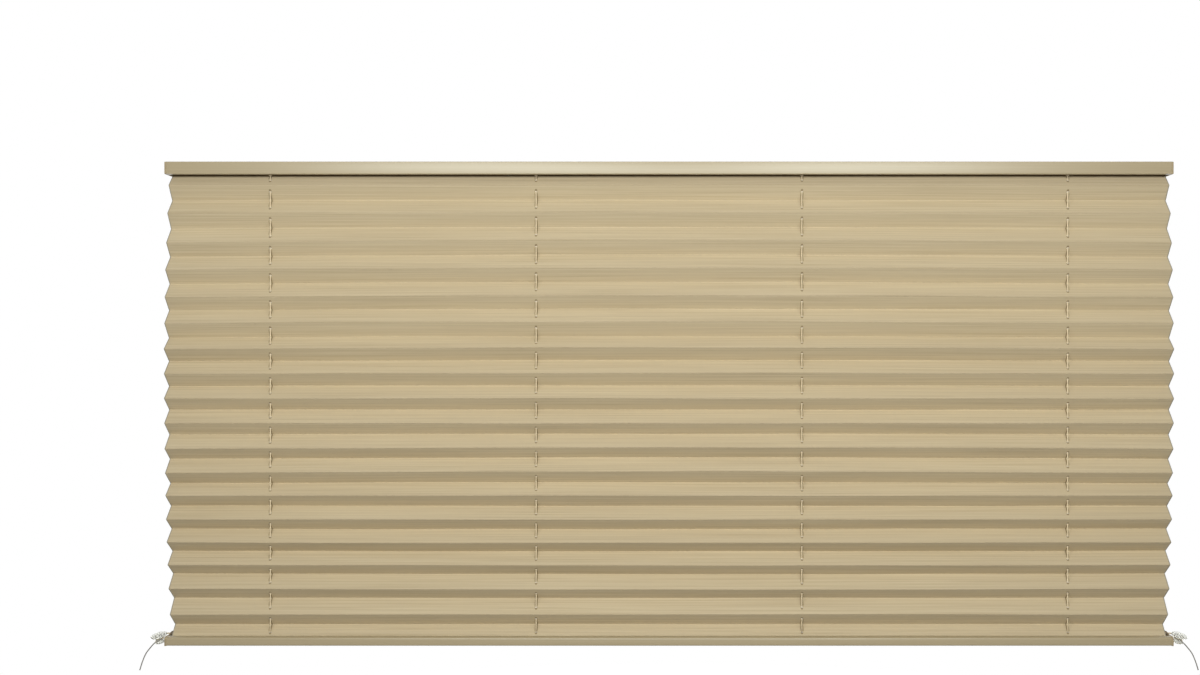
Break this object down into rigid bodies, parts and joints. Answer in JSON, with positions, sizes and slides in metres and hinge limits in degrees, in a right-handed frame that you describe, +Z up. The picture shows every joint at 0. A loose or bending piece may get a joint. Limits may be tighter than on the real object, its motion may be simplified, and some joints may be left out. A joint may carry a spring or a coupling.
{
  "type": "pleated blind",
  "caption": "Wide pleated fabric blind with slim tan rails, lift cords threaded through the pleats, hidden tension springs and clear tie-down spools at the bottom corners.",
  "frame": {"origin": "middle of the head rail's top face, between its two fixing screws", "axes": "+X along the rails, to the right as seen from the room; -Y towards the room; +Z up"},
  "size_m": [1.3342, 0.0348, 0.6402],
  "materials": {
    "rail_metal": "satin tan coating",
    "cap_plastic": "matte moulding",
    "cloth": "stiffened woven cloth with fine cross streaks",
    "strip_plastic": "plain extrusion",
    "guide_plastic": "plain moulding",
    "spring_steel": "drawn wire",
    "clear_plastic": "clear moulding",
    "cord": "braided"
  },
  "bodies": {
    "head": {"head_rail": "rail_metal", "head_rail_end_cap_left": "cap_plastic", "head_rail_end_cap_right": "cap_plastic", "top_fabric_strip": "strip_plastic", "head_cord_guide_1": "guide_plastic", "head_cord_guide_2": "guide_plastic", "head_cord_guide_3": "guide_plastic", "head_cord_guide_4": "guide_plastic", "head_cord_1": "cord", "head_cord_2": "cord", "head_cord_3": "cord", "head_cord_4": "cord", "tension_spring_outer": "spring_steel", "tension_spring_inner": "spring_steel", "pleated_fabric": "cloth", "lift_cord_1": "cord", "lift_cord_2": "cord", "lift_cord_3": "cord", "lift_cord_4": "cord"},
    "foot": {"bottom_rail": "rail_metal", "bottom_rail_end_cap_left": "cap_plastic", "bottom_rail_end_cap_right": "cap_plastic", "bottom_fabric_strip": "strip_plastic", "bottom_cord_guide_1": "guide_plastic", "bottom_cord_guide_2": "guide_plastic", "bottom_cord_guide_3": "guide_plastic", "bottom_cord_guide_4": "guide_plastic", "bottom_cord_1": "cord", "bottom_cord_2": "cord", "bottom_cord_3": "cord", "bottom_cord_4": "cord", "tie_down_spool_left": "clear_plastic", "tie_down_spool_right": "clear_plastic", "spool_cord_left": "cord", "spool_cord_right": "cord"}
  },
  "joints": [
    {"name": "rail_lift", "type": "slide", "parent": "head", "child": "foot", "axis": [0, 0, 1], "range_m": [0, 0.54], "deforming": ["pleated_fabric", "lift_cord_1", "lift_cord_2", "lift_cord_3", "lift_cord_4"]}
  ]
}
